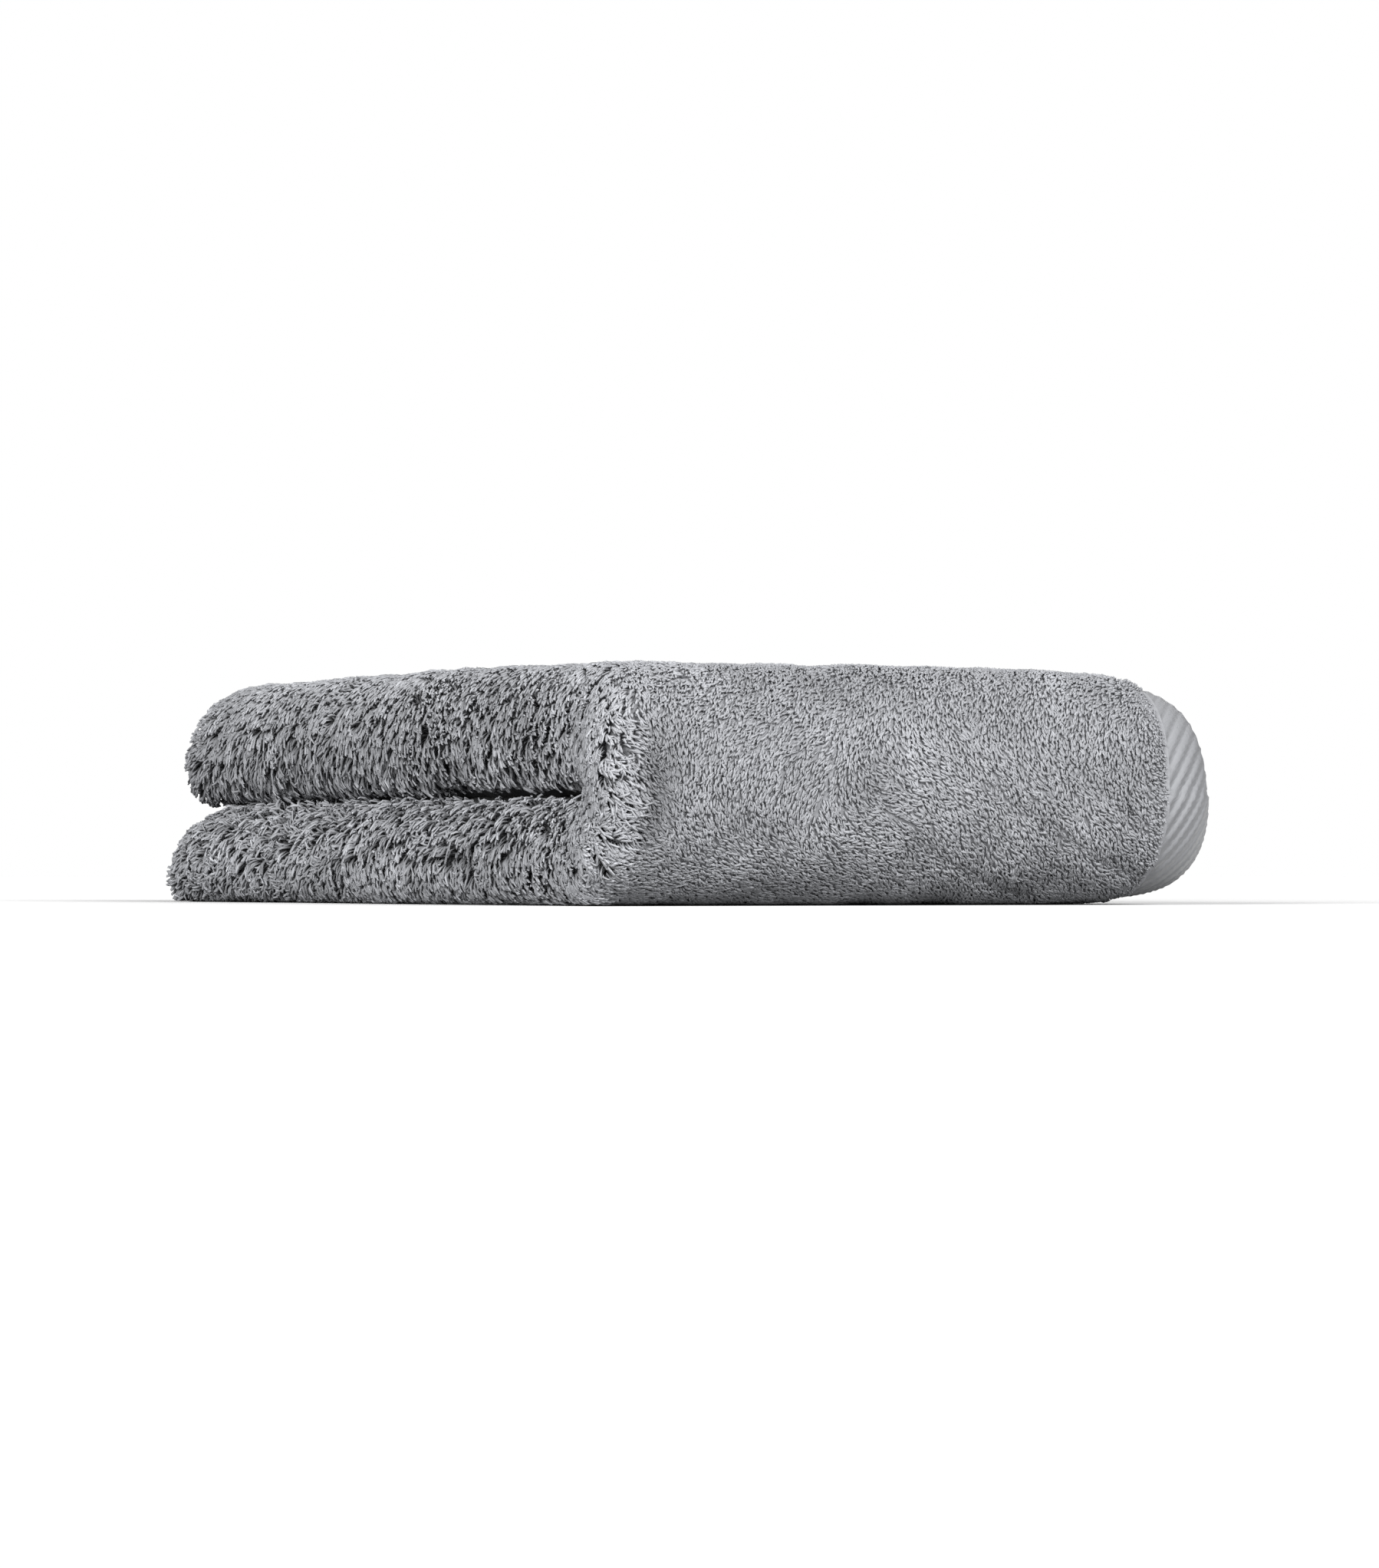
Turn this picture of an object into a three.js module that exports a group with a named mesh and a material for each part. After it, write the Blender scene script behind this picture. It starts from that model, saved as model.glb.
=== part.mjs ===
// A small towel of thick cotton terry, folded twice to a quarter of its cut size.
// The side fold lays one long half on the other: the left side is a loop of cloth, and the right side
// holds the woven borders of both long edges, the outer one curled in over the inner one.
// The front fold lays the back half on the front half: the front is one smooth round of cloth,
// and the left side shows two loops, one above the other.
// Millimetres, +Z up, the front fold faces -Y, the loops face -X, and the origin is under the middle.

import * as THREE from "three";

// The cut cloth: across it from 0 at the outer layer's border, along it from 0 at the lowest back edge
const CUT_WIDTH = 300;
const CUT_LENGTH = 500;
const PILE_THICKNESS = 11.6;
const WOVEN_THICKNESS = 4;
const BORDER_WIDTH = 20;
const END_HEM_WIDTH = 8;
const END_PILE_EDGE = 8;

// The two folds
const SIDE_FOLD_AT = 157.5;
const FACE_GAP = 1.5;
const SIDE_FOLD_RADIUS = (PILE_THICKNESS + FACE_GAP) / 2;
const SIDE_FOLD_SQUEEZE = 0.75;
const SIDE_FOLD_QUARTER = (Math.PI / 2) * SIDE_FOLD_RADIUS;
const DOUBLED_THICKNESS = 2 * PILE_THICKNESS + FACE_GAP;
const FRONT_FOLD_INSIDE = 1;
const FRONT_FOLD_RADIUS = DOUBLED_THICKNESS + FRONT_FOLD_INSIDE;
const FRONT_FOLD_SQUEEZE = 0.88;
const HEIGHT = 2 * FRONT_FOLD_RADIUS;
// Round the front fold the two layers slip on each other, beyond this distance from the side fold.
const SLIP_REACH = 40;
// The share of the inner layer's extra length that crumples inside the front fold
const TAKEN_UP = 0.5;

// How each layer ends at the right: the width over which its pile thins to the woven border, how far
// its edges droop away from the front fold, how far its border is pushed out towards the face that
// shows, and its turns towards the middle, in degrees, from the flat of the layer out to the edge
const LAYERS = {
  outer: {
    length: SIDE_FOLD_AT,
    pileEdge: 7,
    lowerDroop: 0,
    upperDroop: 5,
    pushedOut: 0.7,
    edge: [
      { length: 16, turn: 2.5 },
      { length: 10, turn: 3 },
      { length: 10, turn: 5 },
      { length: 7, turn: 24 },
      { length: 5, turn: 34 },
      { length: 4, turn: 50 },
      { length: 4, turn: 30 },
    ],
  },
  inner: {
    length: CUT_WIDTH - SIDE_FOLD_AT,
    pileEdge: 30,
    lowerDroop: -6,
    upperDroop: 6,
    pushedOut: 0,
    edge: [{ length: 50, turn: -4 }],
  },
};

// The share of those turns that is left at places along the cloth: all at the front fold, none where
// the lowest layer lies flat
const TURN_LEFT = [
  { along: 0, share: 0 },
  { along: 120, share: 0 },
  { along: 215, share: 0.55 },
  { along: 285, share: 1 },
  { along: 380, share: 0.6 },
  { along: CUT_LENGTH, share: 0.4 },
];
// Distances from the side edge between which its border is pushed out
const PUSH = { starts: 2, full: 14, gone: 50 };
// The distances from an edge over which it droops, the share of it at the back ends, and the distances
// behind the front fold over which it starts
const SIDE_DROOP_REACH = 40;
const END_DROOP_REACH = 25;
const END_DROOP = 0.4;
const DROOP_STARTS = 20;
const DROOP_FULL = 110;

// The folded towel is uneven: its lower half is pressed thinner than the upper one, which has slid
// to the right, more so at the back, its loops bow in and out, and its top has soft swells.
const PRESSED = 2.2;
const SLID = 3;
const SLID_PER_LENGTH = 0.02;
const BOW = { depth: 0.8, every: 118, from: 30 };
const SWELLS = [
  { height: 1.6, x: -65, y: 120, across: 70, along: 90 },
  { height: -1, x: 60, y: 210, across: 50, along: 60 },
  { height: -0.7, x: -20, y: 240, across: 45, along: 40 },
];

// Steps along each stretch of the cloth between the named places
const SIDE_STEPS = { woven: 8, pileEdge: 3, nearEdge: 3, face: 4, fold: 12 };
const END_STEPS = { woven: 1, pileEdge: 3, nearEdge: 2, face: 6, fold: 20 };
const NEAR_EDGE = 74;

// 0 below low, 1 above high and smooth between them
function smooth(low, high, at) {
  const share = Math.min(1, Math.max(0, (at - low) / (high - low)));
  return share * share * (3 - 2 * share);
}

// The share of an edge's turns that is left at a place along the cloth
function turnLeftAt(along) {
  const next = Math.max(1, TURN_LEFT.findIndex((row) => row.along >= along));
  const [low, high] = [TURN_LEFT[next - 1], TURN_LEFT[next]];
  return low.share + (high.share - low.share) * smooth(low.along, high.along, along);
}

const fromSide = (across) => Math.min(across, CUT_WIDTH - across);
const fromEnd = (along) => Math.min(along, CUT_LENGTH - along);
const layerAt = (across) => (across < SIDE_FOLD_AT ? LAYERS.outer : LAYERS.inner);

// 0 on the outer layer, 1 on the inner one and smooth through the side fold
function innerShare(across) {
  return smooth(SIDE_FOLD_AT - SIDE_FOLD_QUARTER, SIDE_FOLD_AT + SIDE_FOLD_QUARTER, across);
}

// Half of the cloth's thickness at a place on the cut: thick pile inside thin woven borders
function halfThickness(across, along) {
  const sidePile = smooth(BORDER_WIDTH, BORDER_WIDTH + layerAt(across).pileEdge, fromSide(across));
  const endPile = smooth(END_HEM_WIDTH, END_HEM_WIDTH + END_PILE_EDGE, fromEnd(along));
  return (WOVEN_THICKNESS + (PILE_THICKNESS - WOVEN_THICKNESS) * sidePile * endPile) / 2;
}

// Walks stretches, each a line or an arc of a length and a turn, down from the middle of the side fold
function walk(stretches, distance) {
  const at = { x: 0, z: 0, heading: 0 };
  let left = distance;
  for (const { length, turn } of stretches) {
    const gone = Math.min(left, length);
    const angle = THREE.MathUtils.degToRad(turn) * (gone / length);
    const chord = angle === 0 ? gone : (2 * gone * Math.sin(angle / 2)) / angle;
    at.x += chord * Math.sin(at.heading + angle / 2);
    at.z -= chord * Math.cos(at.heading + angle / 2);
    at.heading += angle;
    left -= gone;
  }
  return at;
}

// How far an edge has drooped from its own level, as a height above the cloth's lowest face
function droop(across, along) {
  const key = along > CUT_LENGTH / 2 ? "upperDroop" : "lowerDroop";
  const amount = LAYERS.outer[key] + (LAYERS.inner[key] - LAYERS.outer[key]) * innerShare(across);
  const behind = Math.abs(along - CUT_LENGTH / 2) - FRONT_FOLD_RADIUS;
  const atSide = 1 - smooth(0, SIDE_DROOP_REACH, fromSide(across));
  const atEnd = END_DROOP * (1 - smooth(0, END_DROOP_REACH, fromEnd(along)));
  const share = (1 - (1 - atSide) * (1 - atEnd)) * smooth(DROOP_STARTS, DROOP_FULL, behind);
  return share * amount;
}

// How far the lowest layer's thin edges lie below the middle of its pile, which keeps its underside flat
function lieDown(across, along) {
  if (along > CUT_LENGTH / 2) return 0;
  const thinned = PILE_THICKNESS / 2 - halfThickness(across, along);
  return thinned * (1 - turnLeftAt(along)) * (1 - innerShare(across));
}

// The place of a point in the side-folded cloth before the front fold, and the level of its layer
function sideFold(across, along, face) {
  const layer = layerAt(across);
  const side = layer === LAYERS.outer ? 1 : -1;
  const turning = layer.edge.reduce((sum, row) => sum + row.length, 0);
  const turnLeft = turnLeftAt(along);
  const stretches = [
    { length: SIDE_FOLD_QUARTER, turn: 90 },
    { length: layer.length - SIDE_FOLD_QUARTER - turning, turn: 0 },
    ...layer.edge.map((row) => ({ length: row.length, turn: row.turn * turnLeft })),
  ];
  const distance = Math.abs(across - SIDE_FOLD_AT);
  const middle = walk(stretches, distance);
  const half = halfThickness(across, along);
  const edge = fromSide(across);
  const atBorder = smooth(PUSH.starts, PUSH.full, edge) * (1 - smooth(BORDER_WIDTH, PUSH.gone, edge));
  const push = layer.pushedOut * turnLeft * (PILE_THICKNESS / 2 - half) * atBorder;
  const off = face * half + push;
  const x = middle.x - SIDE_FOLD_RADIUS - off * Math.cos(middle.heading);
  const z = DOUBLED_THICKNESS / 2 + side * (middle.z - off * Math.sin(middle.heading));
  return {
    x: x < 0 ? x * SIDE_FOLD_SQUEEZE : x,
    z: z + droop(across, along) - lieDown(across, along),
    level: DOUBLED_THICKNESS / 2 - side * SIDE_FOLD_RADIUS * smooth(0, SLIP_REACH, distance),
  };
}

// Bends the doubled cloth round the front: each layer keeps its length at its own level
function frontFold({ x, z, level }, along) {
  const radius = FRONT_FOLD_RADIUS - z;
  const middleRadius = FRONT_FOLD_RADIUS - level;
  const outerRadius = FRONT_FOLD_RADIUS - PILE_THICKNESS / 2;
  const quarter = (Math.PI / 2) * middleRadius;
  const fromMiddle = along - CUT_LENGTH / 2;
  const turn = Math.max(-quarter, Math.min(quarter, fromMiddle)) / middleRadius;
  const straight = CUT_LENGTH / 2 - quarter;
  const outerStraight = CUT_LENGTH / 2 - (Math.PI / 2) * outerRadius;
  const kept = 1 + (TAKEN_UP * (outerStraight - straight)) / straight;
  const past = Math.max(0, Math.abs(fromMiddle) - quarter) * kept;
  return new THREE.Vector3(
    x,
    past - radius * Math.cos(turn) * FRONT_FOLD_SQUEEZE,
    FRONT_FOLD_RADIUS + radius * Math.sin(turn),
  );
}

// Presses, slides and bows the folded cloth and swells its top, all of which leave the underside flat
function settle(point) {
  const up = point.z / HEIGHT;
  const swell = SWELLS.reduce((sum, s) => {
    const away = ((point.x - s.x) / s.across) ** 2 + ((point.y - s.y) / s.along) ** 2;
    return sum + s.height * Math.exp(-away);
  }, 0);
  const bow = Math.sin((2 * Math.PI * (point.y + BOW.from * up)) / BOW.every);
  point.x += (SLID + SLID_PER_LENGTH * point.y) * (up - 0.5) + BOW.depth * bow;
  point.z += swell * up - 4 * PRESSED * up * (1 - up);
  return point;
}

// Places from low to high in equal steps, without the last
function stretch(low, high, steps) {
  return Array.from({ length: steps }, (_, i) => low + ((high - low) * i) / steps);
}

// The places of the grid from an edge of the cloth to where a fold starts
function edgeToFold(woven, pileEdge, foldStart, steps) {
  return [
    ...stretch(0, woven, steps.woven),
    ...stretch(woven, woven + pileEdge, steps.pileEdge),
    ...stretch(woven + pileEdge, NEAR_EDGE, steps.nearEdge),
    ...stretch(NEAR_EDGE, foldStart, steps.face),
  ];
}

// The grid's places across the cloth, from the outer layer's border to the inner one's
function acrossPlaces() {
  const [outer, inner] = [LAYERS.outer, LAYERS.inner].map((layer) =>
    edgeToFold(BORDER_WIDTH, layer.pileEdge, layer.length - SIDE_FOLD_QUARTER, SIDE_STEPS),
  );
  return [
    ...outer,
    ...stretch(SIDE_FOLD_AT - SIDE_FOLD_QUARTER, SIDE_FOLD_AT + SIDE_FOLD_QUARTER, SIDE_STEPS.fold),
    SIDE_FOLD_AT + SIDE_FOLD_QUARTER,
    ...inner.map((place) => CUT_WIDTH - place).reverse(),
  ];
}

// The grid's places along the cloth, from the lowest back edge round the front to the upper one
function alongPlaces() {
  const quarter = (Math.PI / 2) * (FRONT_FOLD_RADIUS - PILE_THICKNESS / 2);
  const half = edgeToFold(END_HEM_WIDTH, END_PILE_EDGE, CUT_LENGTH / 2 - quarter, END_STEPS);
  return [
    ...half,
    ...stretch(CUT_LENGTH / 2 - quarter, CUT_LENGTH / 2 + quarter, END_STEPS.fold),
    CUT_LENGTH / 2 + quarter,
    ...half.map((place) => CUT_LENGTH - place).reverse(),
  ];
}

// The closed skin of the cloth: its two faces as grids, and a rim round its four edges
function clothGeometry() {
  const columns = acrossPlaces();
  const rows = alongPlaces();
  const positions = [1, -1].flatMap((face) =>
    rows.flatMap((along) =>
      columns.flatMap((across) =>
        settle(frontFold(sideFold(across, along, face), along)).toArray(),
      ),
    ),
  );
  const shown = (column, row) => row * columns.length + column;
  const hidden = (column, row) => rows.length * columns.length + shown(column, row);
  const triangles = [];
  const quad = (a, b, c, d) => triangles.push(a, b, c, a, c, d);
  const lastColumn = columns.length - 1;
  const lastRow = rows.length - 1;
  for (let row = 0; row < lastRow; row++) {
    for (let column = 0; column < lastColumn; column++) {
      const corners = [[0, 0], [0, 1], [1, 1], [1, 0]].map(([c, r]) => [column + c, row + r]);
      quad(...corners.map(([c, r]) => shown(c, r)));
      quad(...corners.reverse().map(([c, r]) => hidden(c, r)));
    }
    quad(shown(0, row), hidden(0, row), hidden(0, row + 1), shown(0, row + 1));
    quad(
      shown(lastColumn, row + 1),
      hidden(lastColumn, row + 1),
      hidden(lastColumn, row),
      shown(lastColumn, row),
    );
  }
  for (let column = 0; column < lastColumn; column++) {
    quad(shown(column + 1, 0), hidden(column + 1, 0), hidden(column, 0), shown(column, 0));
    quad(
      shown(column, lastRow),
      hidden(column, lastRow),
      hidden(column + 1, lastRow),
      shown(column + 1, lastRow),
    );
  }
  const geometry = new THREE.BufferGeometry();
  geometry.setAttribute("position", new THREE.Float32BufferAttribute(positions, 3));
  geometry.setIndex(triangles);
  return geometry;
}

const terry = new THREE.MeshStandardMaterial({ color: 0x8b8c90, roughness: 1, metalness: 0 });

const geometry = clothGeometry();
geometry.computeBoundingBox();
const middle = geometry.boundingBox.getCenter(new THREE.Vector3());
geometry.translate(-middle.x, -middle.y, -geometry.boundingBox.min.z);
geometry.computeVertexNormals();

const towel = new THREE.Mesh(geometry, terry);
towel.name = "towel";

const guestTowel = new THREE.Group();
guestTowel.add(towel);

export default guestTowel;
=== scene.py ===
import math

import bpy
import numpy as np
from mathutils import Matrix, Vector
from mathutils.bvhtree import BVHTree


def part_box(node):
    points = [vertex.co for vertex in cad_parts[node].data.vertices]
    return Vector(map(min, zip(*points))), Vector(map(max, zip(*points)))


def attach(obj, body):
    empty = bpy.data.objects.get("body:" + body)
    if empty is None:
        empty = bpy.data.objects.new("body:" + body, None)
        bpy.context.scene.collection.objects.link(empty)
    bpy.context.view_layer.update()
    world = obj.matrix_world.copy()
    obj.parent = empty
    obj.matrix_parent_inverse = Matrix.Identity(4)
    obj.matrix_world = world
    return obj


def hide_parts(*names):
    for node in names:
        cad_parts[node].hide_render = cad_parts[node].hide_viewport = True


# A small towel of thick cotton terry, folded twice to a quarter of its cut size.
# Every place on the cloth is given on the flat cut, in millimetres: across it from the outer layer's
# border, along it from the lowest back edge, and off its middle towards the face that shows.

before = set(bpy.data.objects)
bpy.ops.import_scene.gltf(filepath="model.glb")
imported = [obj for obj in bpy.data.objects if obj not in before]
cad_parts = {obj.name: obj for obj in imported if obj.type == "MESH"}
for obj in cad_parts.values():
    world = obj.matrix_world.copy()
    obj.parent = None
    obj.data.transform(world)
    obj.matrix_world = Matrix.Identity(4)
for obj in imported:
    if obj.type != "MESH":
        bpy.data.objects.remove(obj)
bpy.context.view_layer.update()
packed_low, packed_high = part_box("towel")

MM = 0.001

# The cut cloth
CUT_WIDTH = 300
CUT_LENGTH = 500
PILE_THICK = 11.6
WOVEN_THICK = 4
BORDER_WIDTH = 20
HEM_WIDTH = 8
END_PILE_EDGE = 8
EDGE_ROUND = 1.8
EDGE_LEFT = 0.25

# The two folds
SIDE_FOLD = 157.5
FACE_GAP = 1.5
SIDE_RADIUS = (PILE_THICK + FACE_GAP) / 2
SIDE_SQUEEZE = 0.75
SIDE_QUARTER = math.pi / 2 * SIDE_RADIUS
DOUBLED = 2 * PILE_THICK + FACE_GAP
FRONT_INSIDE = 1
FRONT_RADIUS = DOUBLED + FRONT_INSIDE
FRONT_SQUEEZE = 0.88
HEIGHT = 2 * FRONT_RADIUS
SLIP_REACH = 40
TAKEN_UP = 0.5

# How each layer ends at the right: the length and turn, in degrees, of each stretch out to its edge
OUTER = {
    "length": SIDE_FOLD,
    "pile_edge": 7,
    "lower_droop": 0,
    "upper_droop": 5,
    "pushed_out": 0.7,
    "edge": [(16, 2.5), (10, 3), (10, 5), (7, 24), (5, 34), (4, 50), (4, 30)],
}
INNER = {
    "length": CUT_WIDTH - SIDE_FOLD,
    "pile_edge": 30,
    "lower_droop": -6,
    "upper_droop": 6,
    "pushed_out": 0,
    "edge": [(50, -4)],
}
TURN_LEFT = [(0, 0), (120, 0), (215, 0.55), (285, 1), (380, 0.6), (CUT_LENGTH, 0.4)]
PUSH_STARTS, PUSH_FULL, PUSH_GONE = 2, 14, 50
SIDE_DROOP_REACH = 40
END_DROOP_REACH = 25
END_DROOP = 0.4
DROOP_STARTS = 20
DROOP_FULL = 110
PRESSED = 2.2
SLID = 3
SLID_PER_LENGTH = 0.02
BOW_DEPTH, BOW_EVERY, BOW_FROM = 0.8, 118, 30
SWELLS = [(1.6, -65, 120, 70, 90), (-1, 60, 210, 50, 60), (-0.7, -20, 240, 45, 40)]


def smooth(low, high, at):
    """0 below low, 1 above high and smooth between them."""
    share = np.clip((at - low) / (high - low), 0, 1)
    return share * share * (3 - 2 * share)


def from_side(across):
    return np.minimum(across, CUT_WIDTH - across)


def from_end(along):
    return np.minimum(along, CUT_LENGTH - along)


def turn_left_at(along):
    """The share of an edge's turns that is left at a place along the cloth."""
    left = np.zeros_like(along)
    for (low, low_share), (high, high_share) in zip(TURN_LEFT, TURN_LEFT[1:]):
        here = (along >= low) & (along <= high)
        share = low_share + (high_share - low_share) * smooth(low, high, along)
        left = np.where(here, share, left)
    return left


def inner_share(across):
    """0 on the outer layer, 1 on the inner one and smooth through the side fold."""
    return smooth(SIDE_FOLD - SIDE_QUARTER, SIDE_FOLD + SIDE_QUARTER, across)


def half_of(full, across, along, hem=HEM_WIDTH, end_rise=END_PILE_EDGE):
    """Half of the thickness of a cloth that is as thick as full inside its thin woven edges."""
    pile_edge = np.where(across < SIDE_FOLD, OUTER["pile_edge"], INNER["pile_edge"])
    side = smooth(BORDER_WIDTH, BORDER_WIDTH + pile_edge, from_side(across))
    end = smooth(hem, hem + end_rise, from_end(along))
    return (WOVEN_THICK + (full - WOVEN_THICK) * side * end) / 2


def walk(stretches, distance):
    """Follows lines and arcs down from the middle of the side fold, and gives x, z and the heading."""
    x, z, heading = (np.zeros_like(distance) for _ in range(3))
    left = distance.copy()
    for length, turn in stretches:
        gone = np.clip(left, 0, length)
        angle = np.radians(turn) * gone / length
        chord = gone * np.sinc(angle / (2 * np.pi))
        x += chord * np.sin(heading + angle / 2)
        z -= chord * np.cos(heading + angle / 2)
        heading += angle
        left -= gone
    return x, z, heading


def droop(across, along):
    """How far an edge has drooped from its own level, as a height above the lowest face."""
    upper = along > CUT_LENGTH / 2
    outer = np.where(upper, OUTER["upper_droop"], OUTER["lower_droop"])
    inner = np.where(upper, INNER["upper_droop"], INNER["lower_droop"])
    amount = outer + (inner - outer) * inner_share(across)
    behind = np.abs(along - CUT_LENGTH / 2) - FRONT_RADIUS
    at_side = 1 - smooth(0, SIDE_DROOP_REACH, from_side(across))
    at_end = END_DROOP * (1 - smooth(0, END_DROOP_REACH, from_end(along)))
    return (1 - (1 - at_side) * (1 - at_end)) * smooth(DROOP_STARTS, DROOP_FULL, behind) * amount


def side_fold(layer, side, across, along, off):
    """Places in one layer of the side-folded cloth, before the front fold, and the layer's level."""
    turn_left = turn_left_at(along)
    turning = sum(length for length, _ in layer["edge"])
    stretches = [(SIDE_QUARTER, 90), (layer["length"] - SIDE_QUARTER - turning, 0)]
    stretches += [(length, turn * turn_left) for length, turn in layer["edge"]]
    distance = np.abs(across - SIDE_FOLD)
    x, z, heading = walk(stretches, distance)
    edge = from_side(across)
    thinned = PILE_THICK / 2 - half_of(PILE_THICK, across, along)
    at_border = smooth(PUSH_STARTS, PUSH_FULL, edge) * (1 - smooth(BORDER_WIDTH, PUSH_GONE, edge))
    out = off + layer["pushed_out"] * turn_left * thinned * at_border
    x = x - SIDE_RADIUS - out * np.cos(heading)
    z = DOUBLED / 2 + side * (z - out * np.sin(heading))
    lies_down = np.where(along > CUT_LENGTH / 2, 0, thinned * (1 - turn_left))
    z = z + droop(across, along) - lies_down * (1 - inner_share(across))
    level = DOUBLED / 2 - side * SIDE_RADIUS * smooth(0, SLIP_REACH, distance)
    return np.where(x < 0, x * SIDE_SQUEEZE, x), z, level


def front_fold(x, z, level, along):
    """Bends the doubled cloth round the front: each layer keeps its length at its own level."""
    radius = FRONT_RADIUS - z
    middle_radius = FRONT_RADIUS - level
    outer_straight = CUT_LENGTH / 2 - math.pi / 2 * (FRONT_RADIUS - PILE_THICK / 2)
    quarter = np.pi / 2 * middle_radius
    from_middle = along - CUT_LENGTH / 2
    turn = np.clip(from_middle, -quarter, quarter) / middle_radius
    straight = CUT_LENGTH / 2 - quarter
    kept = 1 + TAKEN_UP * (outer_straight - straight) / straight
    past = np.maximum(0, np.abs(from_middle) - quarter) * kept
    y = past - radius * np.cos(turn) * FRONT_SQUEEZE
    return x, y, FRONT_RADIUS + radius * np.sin(turn)


def settle(x, y, z):
    """Presses, slides and bows the folded cloth and swells its top."""
    up = z / HEIGHT
    swell = sum(
        height * np.exp(-(((x - sx) / across) ** 2) - ((y - sy) / along) ** 2)
        for height, sx, sy, across, along in SWELLS
    )
    bow = np.sin(2 * np.pi * (y + BOW_FROM * up) / BOW_EVERY)
    x = x + (SLID + SLID_PER_LENGTH * y) * (up - 0.5) + BOW_DEPTH * bow
    return np.stack([x, y, z + swell * up - 4 * PRESSED * up * (1 - up)], -1)


def folded(across, along, off):
    """The folded place of each point of the cut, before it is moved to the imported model's place."""
    across, along, off = np.broadcast_arrays(*(np.asarray(v, float) for v in (across, along, off)))
    outer = side_fold(OUTER, 1, across, along, off)
    inner = side_fold(INNER, -1, across, along, off)
    x, z, level = (np.where(across < SIDE_FOLD, o, i) for o, i in zip(outer, inner))
    return settle(*front_fold(x, z, level, along))


def packed_shift():
    """The move that brings the folded cloth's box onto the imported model's box."""
    across, along = np.meshgrid(np.linspace(0, CUT_WIDTH, 301), np.linspace(0, CUT_LENGTH, 501))
    half = half_of(PILE_THICK, across, along)
    skin = np.stack([folded(across, along, half), folded(across, along, -half)]) * MM
    low, high = skin.min((0, 1, 2)), skin.max((0, 1, 2))
    shift = (np.array(packed_low) + np.array(packed_high) - low - high) / 2
    shift[2] = packed_low[2] - low[2]
    return shift


SHIFT = packed_shift()


def place(across, along, off):
    """Points in the row frame, in metres, from places on the cut."""
    return folded(across, along, off) * MM + SHIFT


# The woven border's diagonal ribs: their spacing, height, how far they are sunk in, and how they waver
RIB_ACROSS = 2.9
RIB_ALONG = 4.8
RIB_HEIGHT = 0.42
RIB_SUNK = 0.6
RIB_START, RIB_FADE = 0.5, 1.5
RIB_WAVER, RIB_WAVER_EVERY = 0.1, 21
RIB_TREMBLE, RIB_TREMBLE_ACROSS, RIB_TREMBLE_ALONG = 0.06, 5, 7.3
WEAVE_CHANGES = 1
HEM_STITCH_AT = 6.2
HEM_GROOVE = 0.5
HEM_GROOVE_WIDTH = 0.7

# Where the long loose pile of the side loops starts across the cut, at places along it, how softly it
# starts, and where it ends on the inner layer
LOOPS_FROM = [(0, 151), (200, 150), (228, 151), (248, 150), (262, 152), (285, 153), (CUT_LENGTH, 152)]
LOOPS_BEFORE, LOOPS_AFTER = -6, 4
LOOPS_END = (178, 190)
# How far from the middle of the front fold the near corner's pile ends
NEAR_CORNER = (14, 32)

# The waves that a smooth noise is made of
WAVES = 5
WAVE_SIZES = (0.7, 1.4)
OCTAVE_FINER, OCTAVE_LOWER = 1.9, 1.6
WAVE_LEVEL = 4

DIMPLE_HEIGHT = 0.45
DIMPLE_SIZE = 19
DIMPLE_SEED = 31
DIMPLES_FROM_BORDER = 8
DIMPLES_FROM_END = (8, 20)

# Soft troughs and ridges in the pile: from and to places on the cut, half width and height
CREASES = [
    (68, 252, 22, 232, 1.7, -0.6),
    (84, 242, 50, 228, 1.6, -0.5),
    (50, 257, 26, 244, 1.5, -0.45),
    (128, 249, 124, 243, 3.0, -0.7),
    (146, 252, 147, 247, 4.5, -1.3),
    (152, 262, 150, 249, 3.0, 0.8),
    (150, 249, 152, 232, 3.0, 0.9),
    (165, 104, 154, 108, 1.3, -1.6),
    (158, 170, 158, 181, 1.6, -1.8),
    (162, 330, 166, 352, 2.2, -1.0),
    (160, 420, 164, 440, 2.0, -0.9),
    (170, 266, 168, 318, 4.0, -1.5),
    (168, 318, 167, 350, 2.5, -1.0),
    (171, 236, 170, 205, 3.0, -1.0),
]

# How far the woven ground stands off the cloth's middle: under short pile, under the long pile of the
# loops, on the hidden inside face, and where two hidden layers face each other
GROUND_FLAT, GROUND_LOOP, GROUND_INSIDE, GROUND_BETWEEN = 5, 2.4, 5.9, 6.9
# How far past the side fold the open notch between the layers reaches, and how much further off the ends
NOTCH_DEPTH, NOTCH_DEEPER = 6, 4
NOTCH_DEEPENS = (40, 90)
NOTCH_RISE = 8
# How far from the borders and the ends the hidden ground is thick, and how much nearer by the loops
HIDDEN_FROM_SIDE = (30, 50)
HIDDEN_FROM_END = (18, 32)
HIDDEN_NEARER = 12
NEARER_UNTIL = (190, 205)


def wave_noise(across, along, size, seed, octaves=3):
    """Smooth noise from about -1 to 1 over the cut, with features of about the given size."""
    chance = np.random.default_rng(seed)
    total = np.zeros_like(across)
    for octave in range(octaves):
        for _ in range(WAVES):
            angle = chance.uniform(0, 2 * math.pi)
            step = 2 * math.pi / (size * chance.uniform(*WAVE_SIZES) / OCTAVE_FINER**octave)
            shift = chance.uniform(0, 2 * math.pi)
            crossing = across * math.cos(angle) + along * math.sin(angle)
            total += np.sin(crossing * step + shift) / OCTAVE_LOWER**octave
    return total / WAVE_LEVEL


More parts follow.
